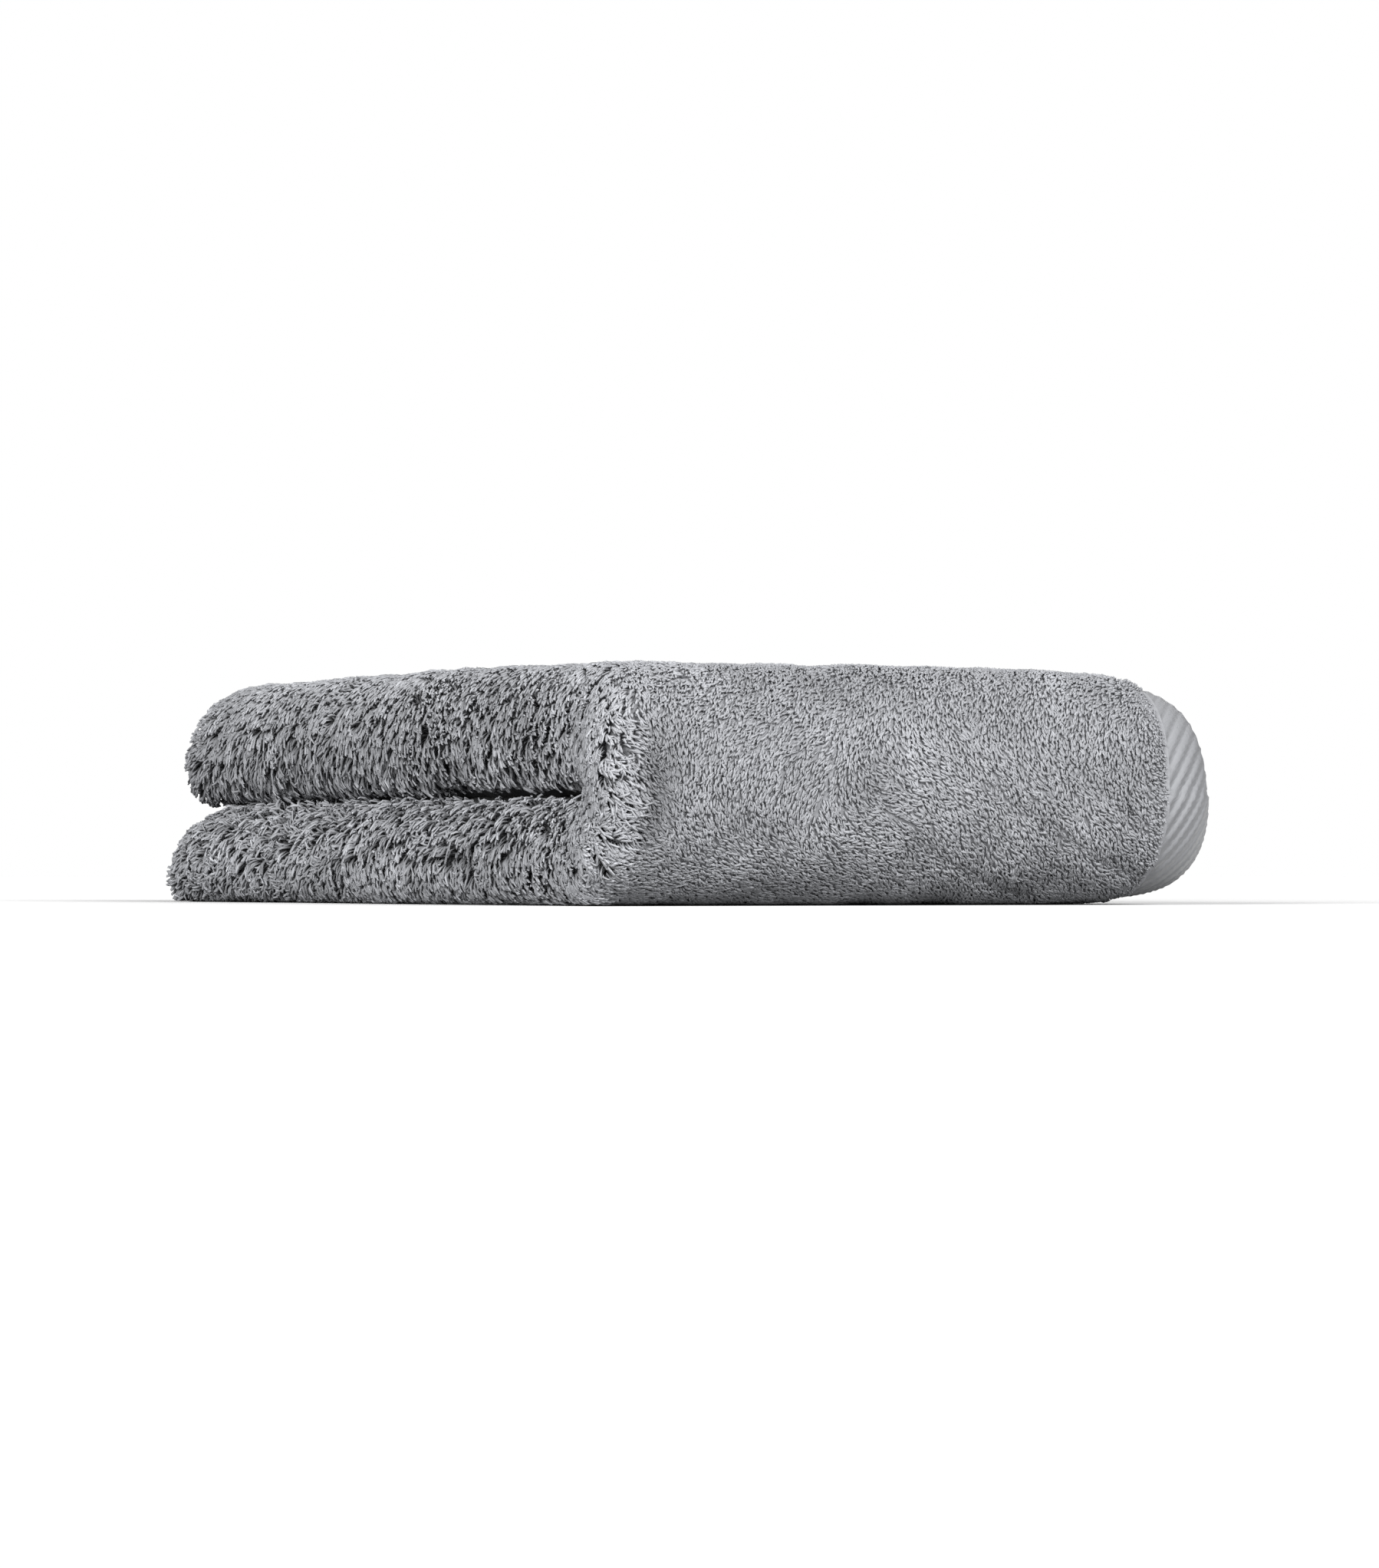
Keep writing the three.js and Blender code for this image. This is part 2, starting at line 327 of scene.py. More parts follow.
def relief(across, along):
    """The height that soft dimples and the creases add to the face that shows."""
    inside = smooth(BORDER_WIDTH, BORDER_WIDTH + DIMPLES_FROM_BORDER, from_side(across))
    inside = inside * smooth(*DIMPLES_FROM_END, from_end(along))
    total = DIMPLE_HEIGHT * wave_noise(across, along, DIMPLE_SIZE, DIMPLE_SEED, 1) * inside
    for a0, b0, a1, b1, width, height in CREASES:
        da, db = a1 - a0, b1 - b0
        share = np.clip(((across - a0) * da + (along - b0) * db) / (da * da + db * db), 0, 1)
        away = np.hypot(across - a0 - share * da, along - b0 - share * db)
        total = total + height * np.exp(-((away / width) ** 2))
    return total


def rib_phase(across, along):
    """How many ribs lie between the cut's corner and a place, so that each rib is one turn."""
    waver = RIB_WAVER * np.sin(along / RIB_WAVER_EVERY)
    waver = waver + RIB_TREMBLE * np.sin(along / RIB_TREMBLE_ALONG + across / RIB_TREMBLE_ACROSS)
    return across / RIB_ACROSS + along / RIB_ALONG + waver


def ribs(across, along):
    """The height of the border's ribs: soft ridges that fade at the border's edges."""
    ridge = 0.5 - 0.5 * np.cos(2 * np.pi * rib_phase(across, along)) - RIB_SUNK
    edge = from_side(across)
    inside = smooth(RIB_START, RIB_START + RIB_FADE, edge)
    inside = inside * (1 - smooth(BORDER_WIDTH - WEAVE_CHANGES, BORDER_WIDTH + WEAVE_CHANGES, edge))
    past_hem = smooth(HEM_WIDTH - WEAVE_CHANGES, HEM_WIDTH + WEAVE_CHANGES, from_end(along))
    return RIB_HEIGHT * ridge * inside * past_hem


def corner_share(along):
    """1 in the middle of the front fold, where the near corner is, and 0 away from it."""
    return 1 - smooth(*NEAR_CORNER, np.abs(along - CUT_LENGTH / 2))


def loop_share(across, along):
    """1 on the two side loops and the near corner, 0 on the front fold and on the flat layers."""
    edge = np.interp(along, *zip(*LOOPS_FROM))
    return smooth(edge + LOOPS_BEFORE, edge + LOOPS_AFTER, across) * (1 - smooth(*LOOPS_END, across))


def hidden_share(across, along, face):
    """1 where other layers hide the cloth well inside the folds, 0 where it can be seen."""
    notch_end = SIDE_FOLD + NOTCH_DEPTH + NOTCH_DEEPER * smooth(*NOTCH_DEEPENS, from_end(along))
    hidden = 1 - (1 - smooth(notch_end, notch_end + NOTCH_RISE, across)) * (face > 0)
    by_loops = (1 - smooth(*NEARER_UNTIL, across)) * (face > 0)
    hidden = hidden * smooth(*HIDDEN_FROM_SIDE, from_side(across))
    return hidden * smooth(*HIDDEN_FROM_END, from_end(along) + HIDDEN_NEARER * by_loops)


def ground_off(across, along, face):
    """How far the woven cloth under the pile stands off its middle on one face: deeper where long pile
    shows on the loops, thick where other layers hide it, with its ribs, hem groove and round edges."""
    shown = GROUND_FLAT + (GROUND_LOOP - GROUND_FLAT) * loop_share(across, along)
    thick = np.where(face > 0, GROUND_BETWEEN, GROUND_INSIDE)
    full = 2 * (shown + (thick - shown) * hidden_share(across, along, face))
    half = half_of(full, across, along) + ribs(across, along)
    end = from_end(along)
    half = half - HEM_GROOVE * np.exp(-(((end - HEM_STITCH_AT) / HEM_GROOVE_WIDTH) ** 2))
    half = half + relief(across, along) * (face > 0)
    edge = np.clip(np.minimum(from_side(across), end) / EDGE_ROUND, 0, 1)
    return np.maximum(EDGE_LEFT, half * np.sqrt(np.maximum(0, 1 - (1 - edge) ** 2)))


def steps(*marks):
    """Places from a list of (start, spacing) marks, with the last mark's start as the end."""
    places = []
    for (low, spacing), (high, _) in zip(marks, marks[1:]):
        count = max(1, round((high - low) / spacing))
        places.append(np.linspace(low, high, count, endpoint=False))
    return np.concatenate([*places, [marks[-1][0]]])


def put_in_scene(name, data):
    made = bpy.data.objects.new(name, data)
    bpy.context.scene.collection.objects.link(made)
    return made


def mesh_object(name, points, corners, sizes, material_of_face, materials, maps, values):
    """A mesh from arrays: each face has as many corners as sizes says, and each point has its values."""
    mesh = bpy.data.meshes.new(name)
    mesh.vertices.add(len(points))
    mesh.vertices.foreach_set("co", points.astype(np.float32).ravel())
    mesh.loops.add(len(corners))
    mesh.loops.foreach_set("vertex_index", corners.astype(np.int32))
    mesh.polygons.add(len(sizes))
    mesh.polygons.foreach_set("loop_start", np.concatenate([[0], np.cumsum(sizes)[:-1]]).astype(np.int32))
    for material in materials:
        mesh.materials.append(material)
    mesh.polygons.foreach_set("material_index", material_of_face.astype(np.int32))
    mesh.update(calc_edges=True)
    mesh.polygons.foreach_set("use_smooth", np.ones(len(sizes), bool))
    uv = mesh.uv_layers.new(name="OFBake")
    uv.data.foreach_set("uv", maps.astype(np.float32).ravel())
    for value_name, value in values.items():
        kind, field = ("FLOAT_VECTOR", "vector") if value.ndim > 1 else ("FLOAT", "value")
        attribute_on = mesh.attributes.new(value_name, kind, "POINT")
        attribute_on.data.foreach_set(field, value.astype(np.float32).ravel())
    mesh.validate()
    return put_in_scene(name, mesh)


# Materials


def new_group(name, inputs, outputs):
    """An empty shader node group with its named sockets."""
    group = bpy.data.node_groups.new(name, "ShaderNodeTree")
    for in_out, sockets in (("INPUT", inputs), ("OUTPUT", outputs)):
        for socket, kind in sockets.items():
            group.interface.new_socket(socket, in_out=in_out, socket_type="NodeSocket" + kind)
    return group, group.nodes.new("NodeGroupInput"), group.nodes.new("NodeGroupOutput")


def node(tree, kind, **settings):
    """A node with its properties and input values set; a linked input is given as a socket."""
    made = tree.nodes.new("ShaderNode" + kind)
    inputs = settings.pop("inputs", {})
    for key, value in settings.items():
        setattr(made, key, value)
    for key, value in inputs.items():
        if isinstance(value, bpy.types.NodeSocket):
            tree.links.new(value, made.inputs[key])
        else:
            made.inputs[key].default_value = value
    return made


def number(tree, operation, *values):
    """The number that a Math node makes of its values."""
    return node(tree, "Math", operation=operation, inputs=dict(enumerate(values))).outputs[0]


def scaled(tree, colour, scale):
    """A colour or a place times a number."""
    made = node(tree, "VectorMath", operation="SCALE", inputs={0: colour, "Scale": scale})
    return made.outputs[0]


def uneven_shade_group():
    """Soft lighter and darker patches, as on washed cotton: puts out a colour from a base colour."""
    inputs = {"Colour": "Color", "Patch size": "Float", "Amount": "Float"}
    group, taken, given = new_group("uneven_shade", inputs, {"Colour": "Color"})
    place_on = node(group, "TexCoord")
    scale = number(group, "DIVIDE", 1 / MM, taken.outputs["Patch size"])
    inputs = {"Vector": place_on.outputs["Object"], "Scale": scale, "Detail": 3.0}
    noise = node(group, "TexNoise", inputs=inputs)
    centred = number(group, "SUBTRACT", noise.outputs["Fac"], 0.5)
    amount = number(group, "MULTIPLY", centred, taken.outputs["Amount"])
    level = number(group, "MULTIPLY_ADD", amount, 2.0, 1.0)
    group.links.new(scaled(group, taken.outputs["Colour"], level), given.inputs["Colour"])
    return group


def cotton_fibre_group():
    """Fine cotton fibres as a height for a Bump node, from places on the cut in millimetres."""
    inputs = {"Place": "Vector", "Fibres per mm": "Float", "Stretch": "Float"}
    group, taken, given = new_group("cotton_fibre", inputs, {"Height": "Float"})
    parts = node(group, "SeparateXYZ", inputs={0: taken.outputs["Place"]})
    slow = number(group, "DIVIDE", parts.outputs[1], taken.outputs["Stretch"])
    joined = node(group, "CombineXYZ", inputs={0: parts.outputs[0], 1: slow, 2: parts.outputs[2]})
    noise = node(group, "TexNoise",
                 inputs={"Vector": joined.outputs[0], "Scale": taken.outputs["Fibres per mm"],
                         "Detail": 4.0, "Roughness": 0.65})
    group.links.new(noise.outputs["Fac"], given.inputs["Height"])
    return group


UNEVEN_SHADE = uneven_shade_group()
COTTON_FIBRE = cotton_fibre_group()


def new_material(name, roughness, specular, sheen=0, sheen_roughness=0.5):
    """A matt material, and its tree and shader."""
    material = bpy.data.materials.new(name)
    material.use_nodes = True
    shader = material.node_tree.nodes["Principled BSDF"]
    shader.inputs["Roughness"].default_value = roughness
    shader.inputs["Sheen Weight"].default_value = sheen
    shader.inputs["Sheen Roughness"].default_value = sheen_roughness
    shader.inputs["Specular IOR Level"].default_value = specular
    return material, material.node_tree, shader


def attribute(tree, name, output):
    """A value that the mesh carries at its points."""
    return node(tree, "Attribute", attribute_name=name).outputs[output]


def uneven(tree, colour, patch_size, amount):
    """The colour with soft patches, their size in millimetres."""
    return node(tree, "Group", node_tree=UNEVEN_SHADE,
                inputs={"Colour": colour, "Patch size": patch_size, "Amount": amount}).outputs["Colour"]


def fibres(tree, place_on, per_mm, stretch):
    """The height of cotton fibres at a place on the cut."""
    return node(tree, "Group", node_tree=COTTON_FIBRE,
                inputs={"Place": place_on, "Fibres per mm": per_mm, "Stretch": stretch}).outputs["Height"]


def finish(tree, shader, colour, height=None, strength=0, distance=0):
    """Gives the shader its colour and, where there is a height, its bump, with the distance in metres."""
    tree.links.new(colour, shader.inputs["Base Color"])
    if height is not None:
        bump = node(tree, "Bump",
                    inputs={"Strength": strength, "Distance": distance, "Height": height})
        tree.links.new(bump.outputs["Normal"], shader.inputs["Normal"])


PILE_COLOUR = (0.354, 0.36, 0.378, 1)
BORDER_COLOUR = (0.285, 0.29, 0.304, 1)
GROUND_COLOUR = (0.34, 0.345, 0.362, 1)
THREAD_COLOUR = (0.38, 0.385, 0.4, 1)
# Painted light on the border's rib crowns and painted shade in their valleys, as a share of the colour
CROWN_PAINTED_LIGHT = 0.05
SATIN_THREADS_TURN = -45
HEM_THREAD_PITCH = 1.3


def terry_pile():
    """The pile's yarn: painted shade at its roots, in the gaps between tufts and in troughs, painted light at
    its tips and on the loops, and each loop a little lighter or darker than its neighbours at random.
    """
    material, tree, shader = new_material(
        "terry_pile", roughness=0.8, sheen=0.06, sheen_roughness=0.5, specular=0.2)
    patches = uneven(tree, PILE_COLOUR, patch_size=20.0, amount=0.32)
    colour = scaled(tree, patches, attribute(tree, "shade", "Fac"))
    height = fibres(tree, attribute(tree, "cut", "Vector"), per_mm=1.6, stretch=1.0)
    finish(tree, shader, colour, height, strength=0.5, distance=0.0004)
    return material


def terry_ground():
    """The woven cloth that the pile stands on, with painted shade under the long pile."""
    material, tree, shader = new_material(
        "terry_ground", roughness=0.95, sheen=0.1, sheen_roughness=0.5, specular=0.1)
    patches = uneven(tree, GROUND_COLOUR, patch_size=6.0, amount=0.3)
    finish(tree, shader, scaled(tree, patches, attribute(tree, "shade", "Fac")))
    return material


def woven_border():
    """The smooth woven border: satin threads along soft diagonal ribs, painted lighter on their crowns and
    darker in their valleys as painted light and shade.
    """
    material, tree, shader = new_material(
        "woven_border", roughness=0.6, sheen=0.3, sheen_roughness=0.35, specular=0.35)
    # Painted light and shade: the ribs' crowns are painted lighter and their valleys darker
    turns = number(tree, "MULTIPLY", attribute(tree, "rib_phase", "Fac"), 2 * math.pi)
    valley = number(tree, "COSINE", turns)
    level = number(tree, "MULTIPLY_ADD", valley, -CROWN_PAINTED_LIGHT, 1.0)
    patches = uneven(tree, BORDER_COLOUR, patch_size=14.0, amount=0.1)
    turn = {"Vector": attribute(tree, "cut", "Vector"), "Angle": math.radians(SATIN_THREADS_TURN)}
    turned = node(tree, "VectorRotate", rotation_type="Z_AXIS", inputs=turn)
    threads = fibres(tree, turned.outputs[0], per_mm=1.8, stretch=5.0)
    height = number(tree, "SUBTRACT", threads, valley)
    finish(tree, shader, scaled(tree, patches, level), height, strength=0.8, distance=0.0003)
    return material


def plain_hem():
    """The narrow hem at each short end: threads over and under in a plain weave."""
    material, tree, shader = new_material(
        "plain_hem", roughness=0.8, sheen=0.2, sheen_roughness=0.4, specular=0.2)
    cut = attribute(tree, "cut", "Vector")
    turns = scaled(tree, cut, 2 * math.pi / HEM_THREAD_PITCH)
    threads = node(tree, "SeparateXYZ", inputs={0: turns})
    warp, weft = (number(tree, "SINE", threads.outputs[axis]) for axis in (0, 1))
    weave = number(tree, "MULTIPLY", warp, weft)
    height = number(tree, "MULTIPLY_ADD", weave, 0.5, fibres(tree, cut, per_mm=1.4, stretch=2.0))
    patches = uneven(tree, BORDER_COLOUR, patch_size=9.0, amount=0.15)
    finish(tree, shader, patches, height, strength=0.8, distance=0.0003)
    return material


def hem_thread():
    """The cotton thread of the hem's stitches."""
    material, tree, shader = new_material(
        "hem_thread", roughness=0.6, sheen=0.3, sheen_roughness=0.4, specular=0.3)
    height = fibres(tree, attribute(tree, "cut", "Vector"), per_mm=4.0, stretch=1.0)
    patches = uneven(tree, THREAD_COLOUR, patch_size=3.0, amount=0.25)
    finish(tree, shader, patches, height, strength=0.5, distance=0.0002)
    return material


TERRY_PILE = terry_pile()
HEM_THREAD = hem_thread()
TERRY_GROUND = terry_ground()
WOVEN_BORDER = woven_border()
PLAIN_HEM = plain_hem()


# The cloth's own skin

# The grid's places across and along the cut: fine in the borders, at the edges and on the loops
BORDER_SPACING, EDGE_SPACING = 0.95, 0.4
COLUMNS = steps((0, EDGE_SPACING), (EDGE_ROUND, BORDER_SPACING), (BORDER_WIDTH + WEAVE_CHANGES, 1.8), (30, 6),
                (140, 4), (147, 1.6), (168, 4), (176, 12), (250, 6),
                (CUT_WIDTH - BORDER_WIDTH - WEAVE_CHANGES, BORDER_SPACING),
                (CUT_WIDTH - EDGE_ROUND, EDGE_SPACING), (CUT_WIDTH, 0))
ROWS_FINE, MIDDLE_ROWS = 9, 396
ROWS = steps((0, 0.36), (EDGE_ROUND, 1.03), (ROWS_FINE, (CUT_LENGTH - 2 * ROWS_FINE) / MIDDLE_ROWS),
             (CUT_LENGTH - ROWS_FINE, 1.03), (CUT_LENGTH - EDGE_ROUND, 0.36), (CUT_LENGTH, 0))
# The borders use every row, and the cloth between them every third
ROWS_PER_STEP = 3
# Where the faces lie on the flat map: the start and the width of each skin and rim
SHOWN_MAP, HIDDEN_MAP = (0.01, 0.46), (0.53, 0.46)
MAP_LOW, MAP_LENGTH = 0.01, 0.95
RIM_MAPS = {"low_side": 0.475, "high_side": 0.505, "low_end": 0.97, "high_end": 0.985}
RIM_MAP_WIDTH = 0.01
GROUND_FACE, BORDER_FACE, HEM_FACE = 0, 1, 2
# Painted shade on the ground under long pile: how much darker it is painted there, and how much less so at
# the near corner
PAINTED_SHADE_UNDER_PILE = 0.72
CORNER_LESS_PAINTED_SHADE = 0.6


class Faces:
    """Collects faces of several corner counts, with their flat places and materials."""

    def __init__(self):
        self.corners, self.sizes, self.maps, self.kinds = [], [], [], []

    def add(self, parts, coordinates, kind, turned=False):
        """Adds one face for each entry of the corner arrays in parts."""
        if turned:
            parts, coordinates = parts[::-1], coordinates[::-1]
        corners = np.stack(parts, -1).reshape(-1, len(parts))
        flat = np.stack([np.stack(np.broadcast_arrays(*c), -1) for c in coordinates], -2)
        self.corners.append(corners.ravel())
        self.sizes.append(np.full(len(corners), len(parts)))
        self.maps.append(flat.reshape(-1, 2))
        self.kinds.append(np.broadcast_to(kind, parts[0].shape).ravel())

    def arrays(self):
        return (np.concatenate(v) for v in (self.corners, self.sizes, self.maps, self.kinds))


def skin_faces(faces, grid, u, v, turned):
    """One skin of the cloth: fine rows in the two borders, coarser ones between, and joining faces."""
    rows, columns = grid.shape
    first = int(np.argmin(np.abs(COLUMNS - (BORDER_WIDTH + WEAVE_CHANGES))))
    last = int(np.argmin(np.abs(COLUMNS - (CUT_WIDTH - BORDER_WIDTH - WEAVE_CHANGES))))

    def add(spots, kind):
        faces.add([grid[r, c] for r, c in spots], [(u[r, c], v[r, c]) for r, c in spots], kind, turned)

    def ground_kind(r):
        return np.where(from_end(ROWS[r]) < HEM_WIDTH - WEAVE_CHANGES, HEM_FACE, GROUND_FACE)

    for low, high in ((0, first), (last, columns - 1)):
        r, c = np.ix_(np.arange(rows - 1), np.arange(low, high))
        add([(r, c), (r, c + 1), (r + 1, c + 1), (r + 1, c)], BORDER_FACE)
    r, c = np.ix_(np.arange(0, rows - 1, ROWS_PER_STEP), np.arange(first + 1, last - 1))
    over = r + ROWS_PER_STEP
    add([(r, c), (r, c + 1), (over, c + 1), (over, c)], ground_kind(r + 0 * c))
    r = np.arange(0, rows - 1, ROWS_PER_STEP)
    over = r + ROWS_PER_STEP
    steps_up = [r + k for k in range(ROWS_PER_STEP + 1)]
    inside, outside = np.full_like(r, first + 1), np.full_like(r, first)
    add([(r, inside), (over, inside), *[(s, outside) for s in steps_up[::-1]]], ground_kind(r))
    inside, outside = np.full_like(r, last - 1), np.full_like(r, last)
    add([*[(s, outside) for s in steps_up], (over, inside), (r, inside)], ground_kind(r))


def rim_faces(faces, shown, hidden, v):
    """The rim that joins the two skins round the cloth's four edges."""
    last_row, last_column = shown.shape[0] - 1, shown.shape[1] - 1
    for column, key, turned in ((0, "low_side", False), (last_column, "high_side", True)):
        line = [shown[:-1, column], hidden[:-1, column], hidden[1:, column], shown[1:, column]]
        low, high, left = v[:-1, column], v[1:, column], RIM_MAPS[key]
        right = left + RIM_MAP_WIDTH
        faces.add(line, [(left, low), (right, low), (right, high), (left, high)], BORDER_FACE, turned)
    u = SHOWN_MAP[0] + SHOWN_MAP[1] * COLUMNS / CUT_WIDTH
    for row, key, turned in ((0, "low_end", True), (last_row, "high_end", False)):
        line = [shown[row, :-1], hidden[row, :-1], hidden[row, 1:], shown[row, 1:]]
        low = RIM_MAPS[key]
        high = low + RIM_MAP_WIDTH
        faces.add(line, [(u[:-1], low), (u[:-1], high), (u[1:], high), (u[1:], low)], HEM_FACE, turned)


def cloth():
    """The woven cloth as one closed skin: its shown and hidden faces as grids, and a rim round them."""
    across, along = np.meshgrid(COLUMNS, ROWS)
    cuts = [np.stack([across, along, face * ground_off(across, along, face)], -1) for face in (1, -1)]
    cut = np.concatenate([c.reshape(-1, 3) for c in cuts])
    points = place(*cut.T)
    shown = np.arange(across.size).reshape(across.shape)
    hidden = shown + across.size
    v = MAP_LOW + MAP_LENGTH * along / CUT_LENGTH
    faces = Faces()
    for (low_u, wide_u), grid, turned in ((SHOWN_MAP, shown, False), (HIDDEN_MAP, hidden, True)):
        skin_faces(faces, grid, low_u + wide_u * across / CUT_WIDTH, v, turned)
    rim_faces(faces, shown, hidden, v)
    corners, sizes, maps, kinds = faces.arrays()
    used = np.zeros(len(points), bool)
    used[corners] = True
    new_number = np.cumsum(used) - 1
    # Painted shade: the shown ground is painted darker under the loops' long pile, less so at the near corner
    long_pile = loop_share(across, along) * (1 - CORNER_LESS_PAINTED_SHADE * corner_share(along))
    shade = 1 - PAINTED_SHADE_UNDER_PILE * np.concatenate([long_pile.ravel(), np.zeros(across.size)])
    phase = np.tile(rib_phase(across, along).ravel(), 2)
    return mesh_object(
        "cloth", points[used], new_number[corners], sizes, kinds, [TERRY_GROUND, WOVEN_BORDER, PLAIN_HEM],
        maps, {"cut": cut[used], "shade": shade[used], "rib_phase": phase[used]},
    )


# The pile. Its yarn ends are laid out on the cut, thickest where the folded cloth is open to view.

CHANCE = np.random.default_rng(7)
# The grid on which the cloth's openness is tried, the rays from each place, and where they start
SEEN_GRID = (61, 101)
SEEN_EDGE = 2
SEEN_RAYS = 24
SEEN_FROM = 0.6
FRAME_REACH = 0.4
# One yarn end is tried in each cell, only where the pile is high enough, which is a little less away from
# the borders, and more of them are kept where the cloth is open and at the near corner
CELL = 0.5
ROOT_LEVEL = 4.5
ROOTS_FROM = 2.9
ROOTS_LOWER, LOWER_FROM = 0.6, BORDER_WIDTH + 20
OPEN_SHARES = (0.02, 0.2)
CORNER_DENSER = 1.5
COUNT_ROUNDS = 6


def rays_out():
    """Directions over the half of a ball above z, more of them near z."""
    count = np.arange(SEEN_RAYS)
    turn = count * math.pi * (3 - math.sqrt(5))
    share = (count + 0.5) / SEEN_RAYS
    radius = np.sqrt(share)
    return np.stack([radius * np.cos(turn), radius * np.sin(turn), np.sqrt(1 - share)], -1)


def frame_at(across, along, off):
    """The steps in the row frame for one millimetre across and along the cloth, and the way off it."""
    reach = FRAME_REACH
    a = (place(across + reach, along, off) - place(across - reach, along, off)) / (2 * reach)
    b = (place(across, along + reach, off) - place(across, along - reach, off)) / (2 * reach)
    return a, b, np.cross(a, b)


def seen_shares():
    """For each face, on a coarse grid, the share of the directions out of it that leave the folds."""
    columns = np.linspace(SEEN_EDGE, CUT_WIDTH - SEEN_EDGE, SEEN_GRID[0])
    rows = np.linspace(SEEN_EDGE, CUT_LENGTH - SEEN_EDGE, SEEN_GRID[1])
    across, along = np.meshgrid(columns, rows)
    half = half_of(PILE_THICK, across, along)
    skins = [place(across, along, face * half).reshape(-1, 3) for face in (1, -1)]
    index = np.arange(across.size).reshape(across.shape)
    quads = np.stack([index[:-1, :-1], index[:-1, 1:], index[1:, 1:], index[1:, :-1]], -1).reshape(-1, 4)
    quads = np.concatenate([quads, quads + across.size])
    tree = BVHTree.FromPolygons(np.concatenate(skins).tolist(), quads.tolist())
    shares = []
    for face, skin in zip((1, -1), skins):
        a, b, out = (v.reshape(-1, 3) for v in frame_at(across, along, face * half))
        a /= np.linalg.norm(a, axis=1, keepdims=True)
        n = out * (-face) / np.linalg.norm(out, axis=1, keepdims=True)
        b = np.cross(n, a)
        start = skin + n * SEEN_FROM * MM
        open_share = np.zeros(len(skin))
        for ray in rays_out():
            way = ray[0] * a + ray[1] * b + ray[2] * n
            tries = zip(start.tolist(), way.tolist())
            free = [tree.ray_cast(Vector(begin), Vector(to))[0] is None for begin, to in tries]
            open_share += np.array(free, float)
        shares.append((open_share / SEEN_RAYS).reshape(across.shape))
    return columns, rows, shares


def read_grid(columns, rows, values, across, along):
    """Reads a coarse grid between its places."""
    i = np.clip(np.interp(across, columns, np.arange(len(columns))), 0, len(columns) - 1.001)
    j = np.clip(np.interp(along, rows, np.arange(len(rows))), 0, len(rows) - 1.001)
    i0, j0 = i.astype(int), j.astype(int)
    fi, fj = i - i0, j - j0
    low = values[j0, i0] * (1 - fi) + values[j0, i0 + 1] * fi
    high = values[j0 + 1, i0] * (1 - fi) + values[j0 + 1, i0 + 1] * fi
    return low * (1 - fj) + high * fj


# The pieces of pile, with the number of yarn ends in each and the rings that each end has
PILE = {
    "pile_front_upper": (11600, 2),
    "pile_front_lower": (11400, 2),
    "pile_loop_upper": (9200, 3),
    "pile_loop_lower": (9000, 3),
    "pile_top": (28000, 1),
    "pile_under": (8500, 1),
    "pile_inside": (7500, 1),
}
FRONT_PILE_REACH = 45
LOOP_PILE = (SIDE_FOLD - 18, SIDE_FOLD + 22)
# By the loops, the pile starts nearer to the back ends and rises faster
END_PILE_RISE = 4
LEAN_FROM = (SIDE_FOLD - 19, SIDE_FOLD - 12)
LEAN_TO = (172, 180)
LEAN_OUT = 4


def in_loop_pile(across):
    """True on the loops of the side fold."""
    return (across > LOOP_PILE[0]) & (across < LOOP_PILE[1])


def pile_height(across, along):
    """How high the pile stands off the cloth's middle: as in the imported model, but on the loops its
    tufts lean out over the hem at the back ends."""
    lean = smooth(*LEAN_FROM, across) * (1 - smooth(*LEAN_TO, across))
    return half_of(PILE_THICK, across, along, HEM_WIDTH - LEAN_OUT * lean, END_PILE_RISE)


def piece_of(across, along, face):
    """The piece of pile that a root belongs to, as its place in PILE."""
    at = {name: place_in for place_in, name in enumerate(PILE)}
    upper = along > CUT_LENGTH / 2
    at_front = np.abs(along - CUT_LENGTH / 2) < FRONT_PILE_REACH
    piece = np.where(upper, at["pile_top"], at["pile_under"])
    piece = np.where(at_front, np.where(upper, at["pile_front_upper"], at["pile_front_lower"]), piece)
    piece = np.where(across > SIDE_FOLD, at["pile_inside"], piece)
    loop = np.where(upper, at["pile_loop_upper"], at["pile_loop_lower"])
    piece = np.where(in_loop_pile(across), loop, piece)
    return np.where(face < 0, at["pile_inside"], piece)


SCATTER, SCATTER_I, SCATTER_J = 52.9829189, 0.06711056, 0.00583715


def even_scatter(i, j):
    """A number from 0 to 1 for each cell of a grid, unlike those of the cells round it."""
    return np.mod(SCATTER * np.mod(SCATTER_I * i + SCATTER_J * j, 1), 1)


def root_weight(across, along, face, openness):
    """How many yarn ends a place should have, as a share."""
    a, b, _ = frame_at(across, along, face * ROOT_LEVEL)
    area = np.linalg.norm(np.cross(a, b), axis=1) / MM**2 * CELL**2
    least = ROOTS_FROM - ROOTS_LOWER * (from_side(across) > LOWER_FROM)
    weight = area * smooth(*OPEN_SHARES, openness) * (pile_height(across, along) > least)
    return weight * (1 + CORNER_DENSER * (in_loop_pile(across) * corner_share(along)))


